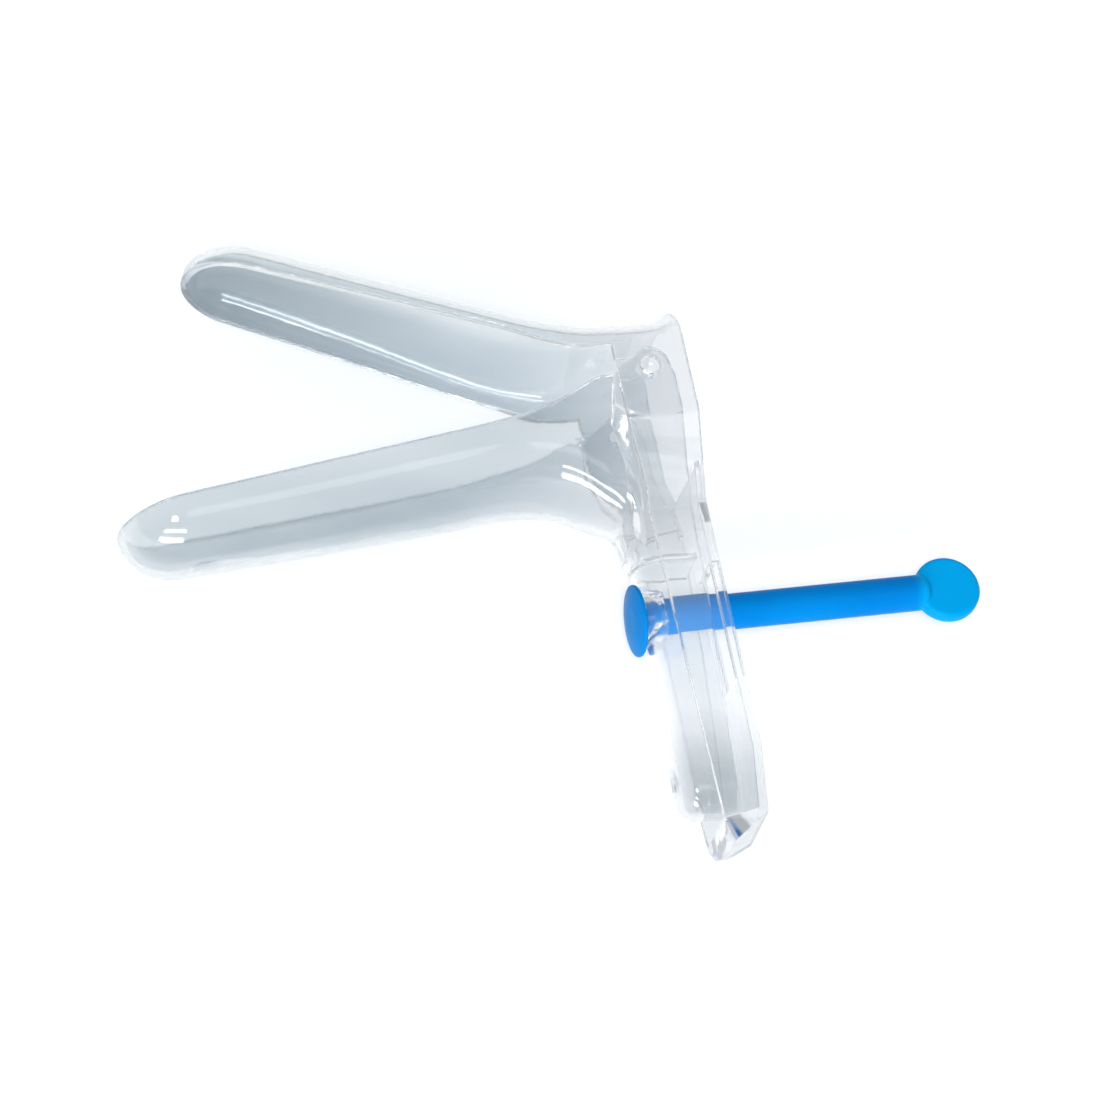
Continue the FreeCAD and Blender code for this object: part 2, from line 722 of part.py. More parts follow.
def ring_edges(shape, matches):
    """The names of the round edges of a shape that a test picks."""
    return [
        f"Edge{number}"
        for number, edge in enumerate(shape.Edges, 1)
        if hasattr(edge.Curve, "Radius") and matches(edge)
    ]


rounding = bar.newObject("PartDesign::Fillet", "paddle_rounding")
paddle_rims = ring_edges(
    paddle.Shape,
    lambda edge: abs(edge.Curve.Radius - size("PaddleRadius")) < 1e-6 and abs(edge.Curve.Axis.z) > 0.5,
)
rounding.Base = (paddle, paddle_rims)
rounding.setExpression("Radius", "Sizes.PaddleThick * 0.3")

tooth_sketch = bar.newObject("Sketcher::SketchObject", "tooth_outline")
tooth_sketch.AttachmentSupport = [(origin_plane(bar, "XZ_Plane"), "")]
tooth_sketch.MapMode = "FlatFace"
tooth_points = [
    ("Sizes.ToothStart", "-Sizes.RodRadius + Sizes.ToothRise"),
    ("Sizes.ToothStart", "-Sizes.RodRadius - Sizes.ToothRise"),
    ("Sizes.ToothStart + Sizes.ToothPitch * 0.9", "-Sizes.RodRadius + Sizes.ToothRise"),
]
for index in range(3):
    start = vec(index, -index * index - 1)
    end = vec((index + 1) % 3, -((index + 1) % 3) ** 2 - 1)
    tooth_sketch.addGeometry(Part.LineSegment(start, end), False)
for index in range(3):
    tooth_sketch.addConstraint(Sketcher.Constraint("Coincident", index, 2, (index + 1) % 3, 1))
for index, (x, y) in enumerate(tooth_points):
    for kind, expression in (("DistanceX", x), ("DistanceY", y)):
        number = tooth_sketch.addConstraint(Sketcher.Constraint(kind, -1, 1, index, 1, 1.0))
        tooth_sketch.setExpression(f"Constraints[{number}]", expression)
tooth = bar.newObject("PartDesign::Pad", "tooth")
tooth.Profile = tooth_sketch
tooth.Midplane = True
tooth.setExpression("Length", "Sizes.RodRadius")
row_of_teeth = bar.newObject("PartDesign::LinearPattern", "row_of_teeth")
row_of_teeth.Originals = [tooth]
row_of_teeth.Direction = (origin_plane(bar, "X_Axis"), [""])
row_of_teeth.setExpression("Length", "Sizes.ToothPitch * (Sizes.ToothCount - 1)")
row_of_teeth.setExpression("Occurrences", "Sizes.ToothCount")
bar.Tip = row_of_teeth
on_bar(bar)

disc = doc.addObject("PartDesign::Body", "retaining_disc")
disc.Label = "retaining_disc"
disc_sketch = outline_sketch(
    disc,
    "disc_outline",
    [
        (f"{rod_start} - Sizes.DiscThick", "0"),
        (f"{rod_start} - Sizes.DiscThick", "Sizes.DiscRadius * 0.45"),
        (f"{rod_start} - Sizes.DiscRim", "Sizes.DiscRadius"),
        (rod_start, "Sizes.DiscRadius"),
        (rod_start, "Sizes.SpigotRadius"),
        (f"{rod_start} - Sizes.SpigotReach", "Sizes.SpigotRadius"),
        (f"{rod_start} - Sizes.SpigotReach", "0"),
    ],
)
revolved(disc, disc_sketch, "disc")
on_bar(disc)

doc.recompute()

PIECES = [lower_blade, upper_blade, bar, disc]
failed = [item.Label for item in doc.Objects if {"Invalid", "Error"} & set(item.State)]
if failed:
    raise SystemExit(f"these objects failed: {failed}")
for piece in PIECES:
    if piece.Shape.isNull() or not piece.Shape.isValid() or len(piece.Shape.Solids) != 1:
        raise SystemExit(f"{piece.Label} is not one valid solid")
for piece in PIECES:
    piece.Shape.exportStep(f"parts/{piece.Label}.step")
    box = piece.Shape.BoundBox
    corners = (box.XMin, box.YMin, box.ZMin, box.XMax, box.YMax, box.ZMax)
    print(piece.Label, round(piece.Shape.Volume, 1), [round(value, 1) for value in corners])
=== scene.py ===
"""Looks of the bivalve speculum: two clear mouldings, the blue bar with its disc, floor, light and camera.

Everything is in metres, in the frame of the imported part: X to the rear, Y to the crown of the collar, and
Z up along the hinge axis.
"""

import logging
import math
from dataclasses import dataclass
from enum import Enum

import bmesh
import bpy
from mathutils import Matrix, Vector


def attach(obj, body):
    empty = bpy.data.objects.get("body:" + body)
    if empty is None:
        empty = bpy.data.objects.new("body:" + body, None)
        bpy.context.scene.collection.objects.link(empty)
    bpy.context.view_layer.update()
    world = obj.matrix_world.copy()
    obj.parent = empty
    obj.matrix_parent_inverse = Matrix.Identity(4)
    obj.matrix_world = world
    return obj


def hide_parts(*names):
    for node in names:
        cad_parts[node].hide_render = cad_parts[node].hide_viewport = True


LOG = logging.getLogger("speculum")
MM = 0.001

Pair = tuple[float, float]
Triple = tuple[float, float, float]
Socket = bpy.types.NodeSocket

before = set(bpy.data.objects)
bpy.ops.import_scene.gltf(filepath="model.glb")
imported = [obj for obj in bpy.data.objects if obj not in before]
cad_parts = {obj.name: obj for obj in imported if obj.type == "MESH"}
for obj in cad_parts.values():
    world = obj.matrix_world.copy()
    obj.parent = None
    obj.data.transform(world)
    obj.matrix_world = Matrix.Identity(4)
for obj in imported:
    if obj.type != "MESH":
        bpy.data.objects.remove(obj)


class Slot(Enum):
    """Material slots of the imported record."""

    CLEAR = "clear_plastic"
    BLUE = "blue_plastic"


def new_object(name: str, mesh: bpy.types.Mesh) -> bpy.types.Object:
    """Puts a mesh into the scene as an object at the origin.

    Args:
        name: the object's name, which is also the piece's name.
        mesh: the mesh, with its place in its vertices.

    Returns:
        The object.
    """
    mesh.name = name
    item = bpy.data.objects.new(name, mesh)
    bpy.context.scene.collection.objects.link(item)
    return item


def settled(item: bpy.types.Object) -> bpy.types.Object:
    """Turns an object's modifiers into its mesh.

    Args:
        item: the object, with its modifiers.

    Returns:
        The same object, with the result as its mesh and no modifiers.
    """
    bpy.context.view_layer.update()
    graph = bpy.context.evaluated_depsgraph_get()
    mesh = bpy.data.meshes.new_from_object(item.evaluated_get(graph), depsgraph=graph)
    item.modifiers.clear()
    old = item.data
    item.data = mesh
    bpy.data.meshes.remove(old)
    mesh.name = item.name
    return item


def shade(mesh: bpy.types.Mesh, crease: float) -> None:
    """Shades a mesh smooth, but for edges sharper than an angle.

    Args:
        mesh: the mesh to shade.
        crease: the angle in degrees from which an edge stays sharp.
    """
    form = bmesh.new()
    form.from_mesh(mesh)
    for face in form.faces:
        face.smooth = True
    for edge in form.edges:
        edge.smooth = edge.calc_face_angle(0.0) < math.radians(crease)
    form.to_mesh(mesh)
    form.free()


class NodeWork:
    """Short ways to add and join the nodes of one tree."""

    noise_low: float = 0.25
    noise_high: float = 0.75

    def __init__(self, tree: bpy.types.NodeTree) -> None:
        """Starts work on a tree, and empties it.

        Args:
            tree: the tree to fill.
        """
        self.tree = tree
        tree.nodes.clear()

    def add(self, kind: str, **settings: object) -> bpy.types.Node:
        """Adds a node.

        Args:
            kind: the node's type name.
            **settings: values of its plain properties.

        Returns:
            The node.
        """
        node = self.tree.nodes.new(kind)
        for key, value in settings.items():
            setattr(node, key, value)
        return node

    def join(self, source: Socket, target: Socket) -> None:
        """Links an output to an input.

        Args:
            source: the output.
            target: the input.
        """
        self.tree.links.new(source, target)

    def object_noise(self, scale: Triple, turn: float, detail: float, size: float) -> Socket:
        """Adds a noise that lies still in the part's frame, and may be drawn out along a direction.

        Args:
            scale: how much finer the pattern is along X, Y and Z after the turn.
            turn: angle in degrees round Z that lays X along the drawn-out direction.
            detail: octaves of the noise.
            size: the noise's scale.

        Returns:
            The output that holds the value from 0 to 1.
        """
        place = self.add("ShaderNodeTexCoord")
        mapping = self.add("ShaderNodeMapping")
        mapping.inputs["Rotation"].default_value = (0.0, 0.0, math.radians(-turn))
        mapping.inputs["Scale"].default_value = scale
        noise = self.add("ShaderNodeTexNoise")
        noise.inputs["Scale"].default_value = size
        noise.inputs["Detail"].default_value = detail
        self.join(place.outputs["Object"], mapping.inputs["Vector"])
        self.join(mapping.outputs["Vector"], noise.inputs["Vector"])
        return noise.outputs["Fac"]

    def spread(self, value: Socket, low: float, high: float) -> Socket:
        """Maps the middle half of a noise to a range.

        Args:
            value: the noise.
            low: result at the noise's low end.
            high: result at its high end.

        Returns:
            The mapped output.
        """
        ranged = self.add("ShaderNodeMapRange")
        ranged.inputs["From Min"].default_value = self.noise_low
        ranged.inputs["From Max"].default_value = self.noise_high
        ranged.inputs["To Min"].default_value = low
        ranged.inputs["To Max"].default_value = high
        self.join(value, ranged.inputs["Value"])
        return ranged.outputs["Result"]

    def share(self, value: Socket, low: float, high: float) -> Socket:
        """Where a value lies between two places, 0 to 1, with soft ends.

        Args:
            value: the output to place.
            low: the place that gives 0.
            high: the place that gives 1.

        Returns:
            The output with the share.
        """
        ranged = self.add("ShaderNodeMapRange", interpolation_type="SMOOTHSTEP")
        ranged.inputs["From Min"].default_value = low
        ranged.inputs["From Max"].default_value = high
        self.join(value, ranged.inputs["Value"])
        return ranged.outputs["Result"]

    def tint(self, value: Socket, stops: list[tuple[float, Triple]]) -> Socket:
        """Adds a colour ramp.

        Args:
            value: what drives it.
            stops: places from 0 to 1 with their colours.

        Returns:
            The colour output.
        """
        ramp = self.add("ShaderNodeValToRGB")
        elements = ramp.color_ramp.elements
        while len(elements) < len(stops):
            elements.new(0.5)
        for element, (place, colour) in zip(elements, stops):
            element.position = place
            element.color = (*colour, 1.0)
        self.join(value, ramp.inputs["Fac"])
        return ramp.outputs["Color"]

    def blend(
        self,
        share: Socket,
        first: Socket,
        second: Socket | Triple,
        kind: str = "MIX",
    ) -> Socket:
        """Blends two colours.

        Args:
            share: how much of the second one, 0 to 1.
            first: the first colour.
            second: the second colour, as an output or as plain numbers.
            kind: the way of blending.

        Returns:
            The colour output.
        """
        mixed = self.add("ShaderNodeMix", data_type="RGBA", blend_type=kind)
        colours = [socket for socket in mixed.inputs if socket.type == "RGBA"]
        self.join(share, mixed.inputs["Factor"])
        self.join(first, colours[0])
        if isinstance(second, tuple):
            colours[1].default_value = (*second, 1.0)
        else:
            self.join(second, colours[1])
        return [socket for socket in mixed.outputs if socket.type == "RGBA"][0]


@dataclass(frozen=True)
class ClearPlastic:
    """Clear moulded polystyrene with faint flow marks, darker in the blades from smoke and painted shade.

    The tints go from the tip of a blade to its root along X, with painted shade darkest at the tip; from
    the side that lies low, painted darker as painted shade, to the other along Z; and in the grip from its
    end to the ears along Y, painted lighter in the hand as a painted sheen. The fields that end in place,
    and blade_from, are shares of those ways from 0 to 1.
    """

    name: str
    flow: float
    # painted shade: a blade is painted darker at its tip and on its low side than on its high side
    tip_painted_shade: Triple
    blade_smoke_and_shade: Triple
    lit_side_tint: Triple
    blade_from: float
    blade_reach: float
    # painted sheen: the grip is painted lighter in the hand and throat, darker towards its end and the ears
    grip_tint_with_sheen: Triple = (0.985, 0.99, 0.99)
    ear_tint: Triple = (0.85, 0.865, 0.885)
    end_tint: Triple = (0.76, 0.785, 0.80)
    tip: float = -110.0 * MM
    grip_start: float = 12.0 * MM
    grip_low: float = -106.0 * MM
    grip_high: float = 25.0 * MM
    tip_place: float = 0.08
    end_place: float = 0.04
    hand_place: float = 0.15
    throat_place: float = 0.52
    ear_place: float = 0.74
    # heights between which the low side's painted shade fades out
    side_from: float = 13.0 * MM
    side_to: float = 25.0 * MM
    index: float = 1.59
    flow_scale: Triple = (0.16, 1.0, 1.0)
    flow_grain: float = 95.0
    cloud_scale: Triple = (0.22, 1.0, 1.0)
    cloud_grain: float = 60.0
    octaves: float = 2.0
    cloud: float = 0.2
    cloud_shares: Triple = (1.0, 0.8, 0.7)
    smooth: float = 0.02
    rough: float = 0.06
    ripple: float = 0.18 * MM
    ripple_strength: float = 0.5
    rounding: float = 0.6 * MM
    rounding_samples: int = 4
    most_bounces: float = 5.5
    blade_shadow: Triple = (0.82, 0.85, 0.87)
    grip_shadow: Triple = (0.98, 0.985, 0.985)

    def tint_and_painted_light(self, work: NodeWork, haze: Socket) -> tuple[Socket, Socket]:
        """The tint from place to place with painted shade and sheen, and how far a place lies in the grip.

        Args:
            work: the node tree.
            haze: the noise that clouds the blades.

        Returns:
            The colour, and the grip's share from 0 to 1.
        """
        place = work.add("ShaderNodeTexCoord")
        split = work.add("ShaderNodeSeparateXYZ")
        work.join(place.outputs["Object"], split.inputs["Vector"])
        along = work.add("ShaderNodeMapRange")
        along.inputs["From Min"].default_value = self.tip
        along.inputs["From Max"].default_value = self.grip_start
        work.join(split.outputs["X"], along.inputs["Value"])
        # painted shade: the blade darkens towards its tip
        blade_stops = [(self.tip_place, self.tip_painted_shade), (self.blade_from, self.blade_smoke_and_shade)]
        blade = work.tint(along.outputs["Result"], blade_stops)
        # painted shade: the low side along Z is darker than the high side
        lit_side = work.share(split.outputs["Z"], self.side_from, self.side_to)
        side_shaded = work.blend(lit_side, blade, self.lit_side_tint)
        # painted sheen: the grip is lighter in the hand and throat
        down = work.share(split.outputs["Y"], self.grip_low, self.grip_high)
        grip_stops = [
            (self.end_place, self.end_tint),
            (self.hand_place, self.grip_tint_with_sheen),
            (self.throat_place, self.grip_tint_with_sheen),
            (self.ear_place, self.ear_tint),
        ]
        grip = work.tint(down, grip_stops)
        in_grip = work.share(split.outputs["X"], self.blade_reach, self.grip_start)
        cloudy = tuple(1.0 - self.cloud * part for part in self.cloud_shares)
        clouded = work.blend(work.spread(haze, 0.0, 1.0), side_shaded, cloudy, "MULTIPLY")
        return work.blend(in_grip, clouded, grip), in_grip

    def material(self) -> bpy.types.Material:
        """Makes the finish.

        Returns:
            The material.
        """
        made = bpy.data.materials.new(self.name)
        made.use_nodes = True
        work = NodeWork(made.node_tree)
        out = work.add("ShaderNodeOutputMaterial")
        body = work.add("ShaderNodeBsdfPrincipled")
        body.inputs["IOR"].default_value = self.index
        body.inputs["Transmission Weight"].default_value = 1.0
        flow = work.object_noise(self.flow_scale, self.flow, self.octaves, self.flow_grain)
        haze = work.object_noise(self.cloud_scale, self.flow, self.octaves, self.cloud_grain)
        base, in_grip = self.tint_and_painted_light(work, haze)
        work.join(base, body.inputs["Base Color"])
        work.join(work.spread(haze, self.smooth, self.rough), body.inputs["Roughness"])
        edge = work.add("ShaderNodeBevel", samples=self.rounding_samples)
        edge.inputs["Radius"].default_value = self.rounding
        bump = work.add("ShaderNodeBump")
        bump.inputs["Strength"].default_value = self.ripple_strength
        bump.inputs["Distance"].default_value = self.ripple
        work.join(flow, bump.inputs["Height"])
        work.join(edge.outputs["Normal"], bump.inputs["Normal"])
        work.join(bump.outputs["Normal"], body.inputs["Normal"])
        lamp_light = work.add("ShaderNodeBsdfTransparent")
        shade_tint = work.tint(in_grip, [(0.0, self.blade_shadow), (1.0, self.grip_shadow)])
        work.join(shade_tint, lamp_light.inputs["Color"])
        mix = work.add("ShaderNodeMixShader")
        work.join(self.let_through(work), mix.inputs["Fac"])
        work.join(body.outputs["BSDF"], mix.inputs[1])
        work.join(lamp_light.outputs["BSDF"], mix.inputs[2])
        work.join(mix.outputs["Shader"], out.inputs["Surface"])
        return made

    def let_through(self, work: NodeWork) -> Socket:
        """Which rays pass straight through: those to the lamps, and those that have bounced enough.

        Args:
            work: the node tree.

        Returns:
            The output that is 1 for such a ray.
        """
        path = work.add("ShaderNodeLightPath")
        spent = work.add("ShaderNodeMath", operation="GREATER_THAN")
        spent.inputs[1].default_value = self.most_bounces
        lamp_or_bounce = work.add("ShaderNodeMath", operation="MAXIMUM")
        passes = work.add("ShaderNodeMath", operation="MAXIMUM")
        work.join(path.outputs["Ray Depth"], spent.inputs[0])
        work.join(path.outputs["Is Shadow Ray"], lamp_or_bounce.inputs[0])
        work.join(path.outputs["Is Diffuse Ray"], lamp_or_bounce.inputs[1])
        work.join(lamp_or_bounce.outputs["Value"], passes.inputs[0])
        work.join(spent.outputs["Value"], passes.inputs[1])
        return passes.outputs["Value"]


@dataclass(frozen=True)
class BluePlastic:
    """Blue moulded plastic that lets a little light through, with a painted glow that lightens it where it
    is thin.
    """

    name: str
    # painted glow: the colour is painted lighter near this centre, for light shining through thin plastic
    painted_glow_centre: Triple
    painted_glow_from: float
    painted_glow_to: float
    deep: Triple = (0.0, 0.165, 0.5)
    middle: Triple = (0.0, 0.19, 0.53)
    # the painted glow's colour
    painted_glow_tint: Triple = (0.0, 0.305, 0.66)
    index: float = 1.49
    shine: float = 0.03
    glow: float = 0.25
    glow_reach: float = 2.0 * MM
    glow_shares: Triple = (0.2, 0.6, 1.0)
    cloud_grain: float = 60.0
    cloud_octaves: float = 2.0
    cloud_from: float = 0.3
    cloud_to: float = 0.7
    lustre: float = 0.3
    satin: float = 0.42
    fine_grain: float = 900.0
    fine_octaves: float = 3.0
    grain: float = 0.04 * MM
    grain_strength: float = 0.4

    def material(self) -> bpy.types.Material:
        """Makes the finish.

        Returns:
            The material.
        """
        made = bpy.data.materials.new(self.name)
        made.use_nodes = True
        work = NodeWork(made.node_tree)
        out = work.add("ShaderNodeOutputMaterial")
        body = work.add("ShaderNodeBsdfPrincipled")
        body.inputs["IOR"].default_value = self.index
        body.inputs["Specular IOR Level"].default_value = self.shine
        body.inputs["Subsurface Weight"].default_value = self.glow
        body.inputs["Subsurface Radius"].default_value = self.glow_shares
        body.inputs["Subsurface Scale"].default_value = self.glow_reach
        even = (1.0, 1.0, 1.0)
        cloud = work.object_noise(even, 0.0, self.cloud_octaves, self.cloud_grain)
        base = work.tint(cloud, [(self.cloud_from, self.deep), (self.cloud_to, self.middle)])
        # painted glow: lighter colour painted by distance from the centre
        place = work.add("ShaderNodeTexCoord")
        away = work.add("ShaderNodeVectorMath", operation="DISTANCE")
        away.inputs[1].default_value = self.painted_glow_centre
        work.join(place.outputs["Object"], away.inputs[0])
        painted_glow = work.add("ShaderNodeMapRange", interpolation_type="SMOOTHSTEP")
        painted_glow.inputs["From Min"].default_value = self.painted_glow_from
        painted_glow.inputs["From Max"].default_value = self.painted_glow_to
        painted_glow.inputs["To Min"].default_value = 1.0
        painted_glow.inputs["To Max"].default_value = 0.0
        work.join(away.outputs["Value"], painted_glow.inputs["Value"])
        work.join(work.blend(painted_glow.outputs["Result"], base, self.painted_glow_tint), body.inputs["Base Color"])
        work.join(work.spread(cloud, self.lustre, self.satin), body.inputs["Roughness"])
        fine = work.object_noise(even, 0.0, self.fine_octaves, self.fine_grain)
        bump = work.add("ShaderNodeBump")
        bump.inputs["Strength"].default_value = self.grain_strength
        bump.inputs["Distance"].default_value = self.grain
        work.join(fine, bump.inputs["Height"])
        work.join(bump.outputs["Normal"], body.inputs["Normal"])
        work.join(body.outputs["BSDF"], out.inputs["Surface"])
        return made


@dataclass
class Moulding:
    """One clear moulding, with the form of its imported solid.

    Attributes:
        node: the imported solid's node.
        body: the body that it rides on.
        plastic: its finish.
        crease: angle in degrees from which an edge stays sharp.
        weld: how far apart two corners of the solid's mesh are one.
    """

    node: str
    body: str
    plastic: ClearPlastic
    crease: float = 24.0
    weld: float = 0.002 * MM

    def form(self) -> bpy.types.Object:
        """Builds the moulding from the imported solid.

        Returns:
            The piece, with closed seams.
        """
        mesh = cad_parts[self.node].data.copy()
        form = bmesh.new()
        form.from_mesh(mesh)
        bmesh.ops.remove_doubles(form, verts=form.verts, dist=self.weld)
        bmesh.ops.dissolve_degenerate(form, edges=form.edges, dist=self.weld)
        form.to_mesh(mesh)
        form.free()
        item = new_object(f"{self.node}_clear", mesh)
        shade(mesh, self.crease)
        return item

    def build(self) -> bpy.types.Object:
        """Builds, dresses and places the moulding.

        Returns:
            The finished piece.
        """
        item = self.form()
        item.data.materials.clear()
        item.data.materials.append(self.plastic.material())
        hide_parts(self.node)
        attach(item, self.body)
        return item


@dataclass
class BarLine:
    """The line that the bar lies on, with X along it."""

    drop: float = 52.4 * MM
    lean: float = 12.4
    height: float = 17.8 * MM

    def place(self) -> Matrix:
        """The way from the bar's own frame to the part's.

        Returns:
            The turn and shift.
        """
        lean = Matrix.Rotation(math.radians(self.lean), 4, "Z")
        return Matrix.Translation((0.0, -self.drop, self.height)) @ lean


def turned(points: list[Pair], steps: int) -> bmesh.types.BMesh:
    """Turns a profile round the X axis.

    Args:
        points: places along X with their radii; the first and last lie on the axis.
        steps: faces round the turn.

    Returns:
        The closed form.
    """
    form = bmesh.new()
    ends = [form.verts.new((points[0][0], 0.0, 0.0)), form.verts.new((points[-1][0], 0.0, 0.0))]
    rings = []
    for along, radius in points[1:-1]:
        ring = []
        for step in range(steps):
            angle = 2.0 * math.pi * step / steps
            ring.append(form.verts.new((along, radius * math.cos(angle), radius * math.sin(angle))))
        rings.append(ring)
    for step in range(steps):
        after = (step + 1) % steps
        form.faces.new((ends[0], rings[0][after], rings[0][step]))
        form.faces.new((ends[1], rings[-1][step], rings[-1][after]))
        for near, far in zip(rings, rings[1:]):
            form.faces.new((near[step], near[after], far[after], far[step]))
    bmesh.ops.recalc_face_normals(form, faces=form.faces)
    return form


def arc_points(centre: Pair, radius: float, start: float, end: float, steps: int) -> list[Pair]:
    """Points of an arc in a profile.

    Args:
        centre: place along the axis and radius of the arc's centre.
        radius: the arc's radius.
        start: first angle in degrees.
        end: last angle in degrees.
        steps: pieces of the arc.

    Returns:
        The points, first and last included.
    """
    found = []
    for step in range(steps + 1):
        angle = math.radians(start + (end - start) * step / steps)
        found.append((centre[0] + radius * math.cos(angle), centre[1] + radius * math.sin(angle)))
    return found


@dataclass
class LockingBar:
    """The blue bar: round rod with a row of teeth, a spigot for the disc and a round thumb paddle.

    Places along the bar count from where its line crosses the Y axis.
    """

    line: BarLine
    rod: float = 3.85 * MM
    start: float = 0.95 * MM
    spigot: float = 2.2 * MM
    spigot_reach: float = 1.4 * MM
    reach: float = 69.6 * MM
    dome: float = 2.4 * MM
    paddle: float = 7.2 * MM
    paddle_thick: float = 3.2 * MM
    paddle_edge: float = 0.62
    # shares of the paddle's radius over which its painted glow fades
    painted_glow_share: float = 0.86
    painted_glow_end_share: float = 1.25
    tooth_start: float = 11.0 * MM
    tooth_pitch: float = 2.5 * MM
    tooth_count: int = 16
    tooth_rise: float = 0.6 * MM
    tooth_back: float = 0.9
    grain: float = 0.19 * MM
    softness: float = 0.5
    soft_rounds: int = 3
    crease: float = 60.0
    steps: int = 96
    dome_steps: int = 16
    rim_steps: int = 8

    def rod_form(self) -> bpy.types.Object:
        """The rod with its spigot and its domed end.

        Returns:
            The rod, in the bar's own frame.
        """
        end = self.reach - self.paddle / 2
        profile = [(self.start - self.spigot_reach, 0.0), (self.start - self.spigot_reach, self.spigot)]
        profile += [(self.start, self.spigot), (self.start, self.rod)]
        dome = arc_points((0.0, 0.0), 1.0, 90.0, 0.0, self.dome_steps)
        profile += [(end - self.dome + x * self.dome, y * self.rod) for x, y in dome[:-1]]
        profile.append((end, 0.0))
        form = turned(profile, self.steps)
        mesh = bpy.data.meshes.new("rod")
        form.to_mesh(mesh)
        form.free()
        return new_object("rod", mesh)

    def paddle_form(self) -> bpy.types.Object:
        """The paddle, a round pad with rounded rims, flat to the hinge axis.

        Returns:
            The paddle, in the bar's own frame.
        """
        half = self.paddle_thick / 2
        edge = half * self.paddle_edge
        flat = self.paddle - edge
        profile = [(-half, 0.0)]
        profile += arc_points((-half + edge, flat), edge, 180.0, 90.0, self.rim_steps)
        profile += arc_points((half - edge, flat), edge, 90.0, 0.0, self.rim_steps)
        profile.append((half, 0.0))
        form = turned(profile, self.steps)
        turn = Matrix.Translation((self.reach, 0.0, 0.0)) @ Matrix.Rotation(math.radians(90.0), 4, "Y")
        bmesh.ops.transform(form, matrix=turn, verts=form.verts)
        mesh = bpy.data.meshes.new("paddle")
        form.to_mesh(mesh)
        form.free()
        return new_object("paddle", mesh)

    def tooth_form(self) -> bpy.types.Mesh:
        """One ratchet tooth, steep on its blade side.

        Returns:
            The tooth's mesh at the row's start.
        """
        half = self.rod / 2
        foot = -self.rod + self.tooth_rise
        tip = -self.rod - self.tooth_rise
        outline = [
            (self.tooth_start, foot),
            (self.tooth_start, tip),
            (self.tooth_start + self.tooth_pitch * self.tooth_back, foot),
        ]
        form = bmesh.new()
        near = [form.verts.new((x, -half, z)) for x, z in outline]
        far = [form.verts.new((x, half, z)) for x, z in outline]
        form.faces.new(near)
        form.faces.new(reversed(far))
        for index in range(len(outline)):
            after = (index + 1) % len(outline)
            form.faces.new((near[after], near[index], far[index], far[after]))
        bmesh.ops.recalc_face_normals(form, faces=form.faces)
        mesh = bpy.data.meshes.new("tooth")
        form.to_mesh(mesh)
        form.free()
        return mesh

    def teeth_form(self, finish: bpy.types.Material) -> bpy.types.Object:
        """The row of teeth, repeated by a node tree.

        Args:
            finish: the material of the teeth.

        Returns:
            The row as one plain mesh, in the bar's own frame.
        """
        tree = bpy.data.node_groups.new("tooth_row", "GeometryNodeTree")
        face = tree.interface
        face.new_socket("Geometry", in_out="INPUT", socket_type="NodeSocketGeometry")
        count = face.new_socket("Count", in_out="INPUT", socket_type="NodeSocketInt")
        pitch = face.new_socket("Pitch", in_out="INPUT", socket_type="NodeSocketFloat")
        face.new_socket("Geometry", in_out="OUTPUT", socket_type="NodeSocketGeometry")
        work = NodeWork(tree)
        inputs = work.add("NodeGroupInput")
        outputs = work.add("NodeGroupOutput")
        step = work.add("ShaderNodeCombineXYZ")
        row = work.add("GeometryNodeMeshLine")
        spread = work.add("GeometryNodeInstanceOnPoints")
        real = work.add("GeometryNodeRealizeInstances")
        dress = work.add("GeometryNodeSetMaterial")
        dress.inputs["Material"].default_value = finish
        work.join(inputs.outputs["Pitch"], step.inputs["X"])
        work.join(inputs.outputs["Count"], row.inputs["Count"])
        work.join(step.outputs["Vector"], row.inputs["Offset"])
        work.join(row.outputs["Mesh"], spread.inputs["Points"])
        work.join(inputs.outputs["Geometry"], spread.inputs["Instance"])
        work.join(spread.outputs["Instances"], real.inputs["Geometry"])
        work.join(real.outputs["Geometry"], dress.inputs["Geometry"])
        work.join(dress.outputs["Geometry"], outputs.inputs["Geometry"])
        item = new_object("teeth", self.tooth_form())
        modifier = item.modifiers.new("row", "NODES")
        modifier.node_group = tree
        modifier[count.identifier] = self.tooth_count
        modifier[pitch.identifier] = self.tooth_pitch
        return settled(item)

    def build(self) -> bpy.types.Object:
        """Builds, dresses and places the bar.

        Returns:
            The finished piece.
        """
        # painted glow: the paddle's face is painted lighter round its centre
        centre = self.line.place() @ Vector((self.reach, 0.0, 0.0))
        painted_glow_from = self.paddle * self.painted_glow_share
        painted_glow_to = self.paddle * self.painted_glow_end_share
        finish = BluePlastic("blue_bar", tuple(centre), painted_glow_from, painted_glow_to).material()
        parts = [self.rod_form(), self.paddle_form(), self.teeth_form(finish)]
        form = bmesh.new()
        for part in parts:
            form.from_mesh(part.data)
            bpy.data.objects.remove(part)
        bmesh.ops.transform(form, matrix=self.line.place(), verts=form.verts)
        mesh = bpy.data.meshes.new("locking_bar_blue")
        form.to_mesh(mesh)
        form.free()
        item = new_object("locking_bar_blue", mesh)
        remesh = item.modifiers.new("one_skin", "REMESH")
        remesh.mode = "VOXEL"
        remesh.voxel_size = self.grain
        soften = item.modifiers.new("soft_corners", "SMOOTH")
        soften.factor = self.softness
        soften.iterations = self.soft_rounds
        item = settled(item)
        shade(item.data, self.crease)
        item.data.materials.clear()
        item.data.materials.append(finish)
        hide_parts("locking_bar")
        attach(item, "bar")
        return item


